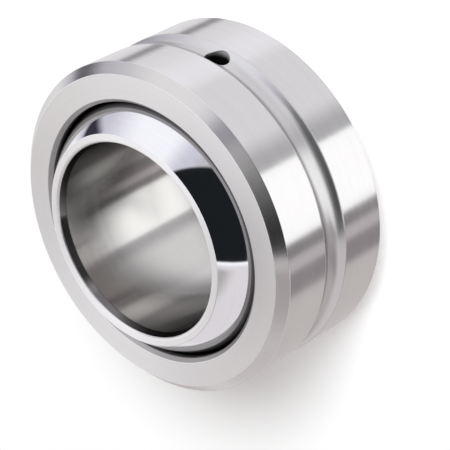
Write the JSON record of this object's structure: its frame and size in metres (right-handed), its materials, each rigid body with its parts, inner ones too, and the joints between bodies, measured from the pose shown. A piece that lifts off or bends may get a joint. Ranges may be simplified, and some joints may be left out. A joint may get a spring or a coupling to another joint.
{
  "type": "spherical plain bearing",
  "caption": "Spherical plain bearing: a polished ball-shaped inner ring with a plain bore swivels in a wide outer ring with a lubrication groove and holes.",
  "frame": {"origin": "centre of the ball, on the common axis of both rings and midway between their end faces", "axes": "+Z along the common axis of the rings at rest, which stand on their end; +X through one lubrication hole"},
  "size_m": [0.0444, 0.0444, 0.0254],
  "materials": {
    "ground_steel": "satin ground bearing steel, with faint turning marks on the end faces",
    "polished_steel": "mirror-polished ball, bright end faces and a satin ground bore"
  },
  "bodies": {
    "outer": {"outer_ring": "ground_steel"},
    "inner": {"inner_ring": "polished_steel"}
  },
  "joints": [
    {"name": "swivel", "type": "hinge", "parent": "outer", "child": "inner", "pos_m": [0, 0, 0], "axis": [1, 0, 0], "range_deg": [-10, 10]}
  ]
}
